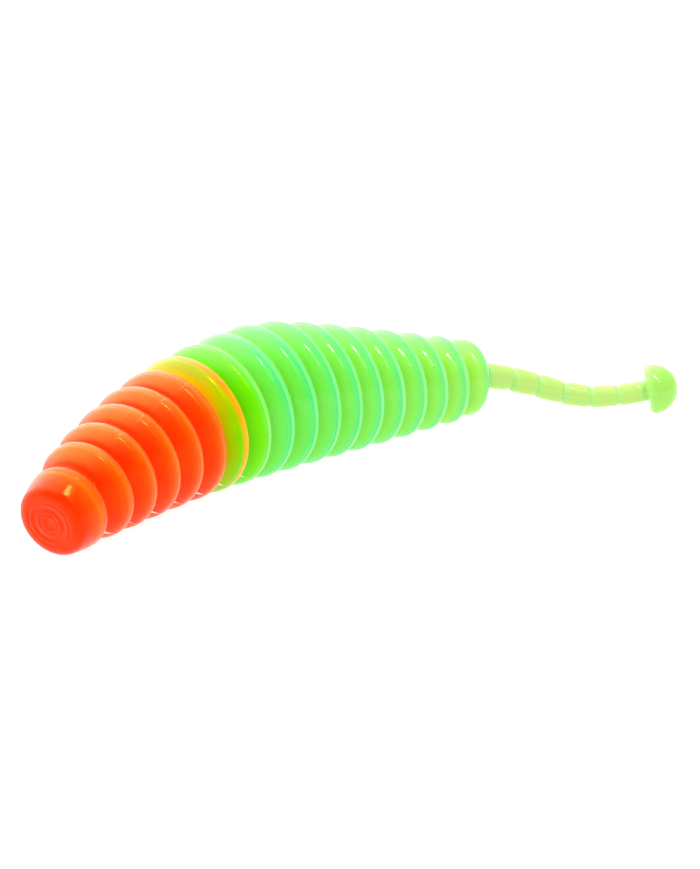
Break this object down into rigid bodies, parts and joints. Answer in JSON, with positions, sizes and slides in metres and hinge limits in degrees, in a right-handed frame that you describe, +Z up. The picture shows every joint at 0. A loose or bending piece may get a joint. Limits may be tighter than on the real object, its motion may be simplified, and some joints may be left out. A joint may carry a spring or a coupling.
{
  "type": "soft plastic worm",
  "caption": "Soft plastic worm lure: ribbed spindle body in orange, yellow and green with a thin beaded tail that ends in a button; it flexes at every groove.",
  "frame": {"origin": "middle of the footprint on the table, under the centre of the box around the resting worm", "axes": "+X from nose to tail tip, +Y to the outside of the gentle curve, +Z up from the table"},
  "size_m": [0.0606, 0.018, 0.0116],
  "materials": {
    "head_orange": "glossy translucent soft plastic, fluorescent orange",
    "collar_yellow": "glossy translucent soft plastic, yellow where the orange pour thins out over the green one",
    "body_green": "glossy translucent soft plastic, fluorescent green",
    "tail_lime": "glossy translucent soft plastic, pale lime where the green pour is thin"
  },
  "bodies": {
    "nose_cap": {"nose_cap": "head_orange"},
    "head_ring_1": {"head_ring_1": "head_orange"},
    "head_ring_2": {"head_ring_2": "head_orange"},
    "head_ring_3": {"head_ring_3": "head_orange"},
    "head_ring_4": {"head_ring_4": "head_orange"},
    "head_ring_5": {"head_ring_5": "head_orange"},
    "collar_ring": {"collar_ring": "collar_yellow"},
    "body_ring_1": {"body_ring_1": "body_green"},
    "body_ring_2": {"body_ring_2": "body_green"},
    "body_ring_3": {"body_ring_3": "body_green"},
    "body_ring_4": {"body_ring_4": "body_green"},
    "body_ring_5": {"body_ring_5": "body_green"},
    "body_ring_6": {"body_ring_6": "body_green"},
    "body_ring_7": {"body_ring_7": "body_green"},
    "body_ring_8": {"body_ring_8": "body_green"},
    "body_ring_9": {"body_ring_9": "body_green"},
    "body_ring_10": {"body_ring_10": "body_green"},
    "rear_dome": {"rear_dome": "body_green"},
    "tail_bead_1": {"tail_bead_1": "tail_lime"},
    "tail_bead_2": {"tail_bead_2": "tail_lime"},
    "tail_bead_3": {"tail_bead_3": "tail_lime"},
    "tail_bead_4": {"tail_bead_4": "tail_lime"},
    "tail_bead_5": {"tail_bead_5": "tail_lime"},
    "tail_bead_6": {"tail_bead_6": "tail_lime"},
    "tail_button": {"tail_button": "tail_lime"}
  },
  "joints": [
    {"name": "nose_cap_swing", "type": "hinge", "parent": "head_ring_1", "child": "nose_cap", "pos_m": [-0.02627, -0.00102, 0.00347], "axis": [0, 0, -1], "range_deg": [-7, 7], "stiffness_Nm_per_rad": 0.0062},
    {"name": "head_ring_1_nod", "type": "hinge", "parent": "head_ring_2", "child": "head_ring_1", "pos_m": [-0.02384, -0.00026, 0.00399], "axis": [-0.2925, 0.9563, 0], "range_deg": [-7, 7], "stiffness_Nm_per_rad": 0.014},
    {"name": "head_ring_2_swing", "type": "hinge", "parent": "head_ring_3", "child": "head_ring_2", "pos_m": [-0.02138, 0.00047, 0.00439], "axis": [0, 0, -1], "range_deg": [-7, 7], "stiffness_Nm_per_rad": 0.023},
    {"name": "head_ring_3_nod", "type": "hinge", "parent": "head_ring_4", "child": "head_ring_3", "pos_m": [-0.0189, 0.00116, 0.00475], "axis": [-0.2549, 0.967, 0], "range_deg": [-7, 7], "stiffness_Nm_per_rad": 0.035},
    {"name": "head_ring_4_swing", "type": "hinge", "parent": "head_ring_5", "child": "head_ring_4", "pos_m": [-0.01639, 0.00178, 0.00505], "axis": [0, 0, -1], "range_deg": [-7, 7], "stiffness_Nm_per_rad": 0.048},
    {"name": "head_ring_5_nod", "type": "hinge", "parent": "collar_ring", "child": "head_ring_5", "pos_m": [-0.01386, 0.0023, 0.00532], "axis": [-0.1792, 0.9838, 0], "range_deg": [-7, 7], "stiffness_Nm_per_rad": 0.062},
    {"name": "collar_ring_swing", "type": "hinge", "parent": "body_ring_1", "child": "collar_ring", "pos_m": [-0.0113, 0.0027, 0.00553], "axis": [0, 0, -1], "range_deg": [-7, 7], "stiffness_Nm_per_rad": 0.076},
    {"name": "body_ring_1_nod", "type": "hinge", "parent": "body_ring_2", "child": "body_ring_1", "pos_m": [-0.00872, 0.00297, 0.00569], "axis": [-0.0807, 0.9967, 0], "range_deg": [-7, 7], "stiffness_Nm_per_rad": 0.088},
    {"name": "body_ring_2_swing", "type": "hinge", "parent": "body_ring_3", "child": "body_ring_2", "pos_m": [-0.00613, 0.00313, 0.00579], "axis": [0, 0, -1], "range_deg": [-7, 7], "stiffness_Nm_per_rad": 0.098},
    {"name": "body_ring_4_nod", "type": "hinge", "parent": "body_ring_3", "child": "body_ring_4", "pos_m": [-0.00353, 0.0032, 0.00584], "axis": [0.017, -0.9999, 0], "range_deg": [-7, 7], "stiffness_Nm_per_rad": 0.096},
    {"name": "body_ring_5_swing", "type": "hinge", "parent": "body_ring_4", "child": "body_ring_5", "pos_m": [-0.00094, 0.00322, 0.00563], "axis": [0, 0, 1], "range_deg": [-7, 7], "stiffness_Nm_per_rad": 0.076},
    {"name": "body_ring_6_nod", "type": "hinge", "parent": "body_ring_5", "child": "body_ring_6", "pos_m": [0.00164, 0.00319, 0.00532], "axis": [-0.0225, -0.9997, 0], "range_deg": [-7, 7], "stiffness_Nm_per_rad": 0.057},
    {"name": "body_ring_7_swing", "type": "hinge", "parent": "body_ring_6", "child": "body_ring_7", "pos_m": [0.00422, 0.0031, 0.00498], "axis": [0, 0, 1], "range_deg": [-7, 7], "stiffness_Nm_per_rad": 0.04},
    {"name": "body_ring_8_nod", "type": "hinge", "parent": "body_ring_7", "child": "body_ring_8", "pos_m": [0.00679, 0.00297, 0.00464], "axis": [-0.0588, -0.9983, 0], "range_deg": [-7, 7], "stiffness_Nm_per_rad": 0.027},
    {"name": "body_ring_9_swing", "type": "hinge", "parent": "body_ring_8", "child": "body_ring_9", "pos_m": [0.00937, 0.0028, 0.00431], "axis": [0, 0, 1], "range_deg": [-7, 7], "stiffness_Nm_per_rad": 0.017},
    {"name": "body_ring_10_nod", "type": "hinge", "parent": "body_ring_9", "child": "body_ring_10", "pos_m": [0.01194, 0.00255, 0.004], "axis": [-0.1157, -0.9933, 0], "range_deg": [-7, 7], "stiffness_Nm_per_rad": 0.01},
    {"name": "rear_dome_swing", "type": "hinge", "parent": "body_ring_10", "child": "rear_dome", "pos_m": [0.01449, 0.00217, 0.0037], "axis": [0, 0, 1], "range_deg": [-7, 7], "stiffness_Nm_per_rad": 0.0049},
    {"name": "tail_bead_1_nod", "type": "hinge", "parent": "rear_dome", "child": "tail_bead_1", "pos_m": [0.01742, 0.00134, 0.00362], "axis": [-0.3807, -0.9247, 0], "range_deg": [-20, 20], "stiffness_Nm_per_rad": 0.0003},
    {"name": "tail_bead_2_swing", "type": "hinge", "parent": "tail_bead_1", "child": "tail_bead_2", "pos_m": [0.01942, 0.00044, 0.00312], "axis": [0, 0, 1], "range_deg": [-20, 20], "stiffness_Nm_per_rad": 0.0003},
    {"name": "tail_bead_3_nod", "type": "hinge", "parent": "tail_bead_2", "child": "tail_bead_3", "pos_m": [0.0213, -0.0007, 0.00245], "axis": [-0.5712, -0.8208, 0], "range_deg": [-20, 20], "stiffness_Nm_per_rad": 0.0003},
    {"name": "tail_bead_4_swing", "type": "hinge", "parent": "tail_bead_3", "child": "tail_bead_4", "pos_m": [0.02297, -0.00203, 0.00176], "axis": [0, 0, 1], "range_deg": [-20, 20], "stiffness_Nm_per_rad": 0.0003},
    {"name": "tail_bead_5_nod", "type": "hinge", "parent": "tail_bead_4", "child": "tail_bead_5", "pos_m": [0.0246, -0.00362, 0.00144], "axis": [-0.7067, -0.7075, 0], "range_deg": [-20, 20], "stiffness_Nm_per_rad": 0.0003},
    {"name": "tail_bead_6_swing", "type": "hinge", "parent": "tail_bead_5", "child": "tail_bead_6", "pos_m": [0.02617, -0.00522, 0.0016], "axis": [0, 0, 1], "range_deg": [-20, 20], "stiffness_Nm_per_rad": 0.0003},
    {"name": "tail_button_nod", "type": "hinge", "parent": "tail_bead_6", "child": "tail_button", "pos_m": [0.02755, -0.00649, 0.00193], "axis": [-0.6289, -0.7775, 0], "range_deg": [-20, 20], "stiffness_Nm_per_rad": 0.0003}
  ]
}
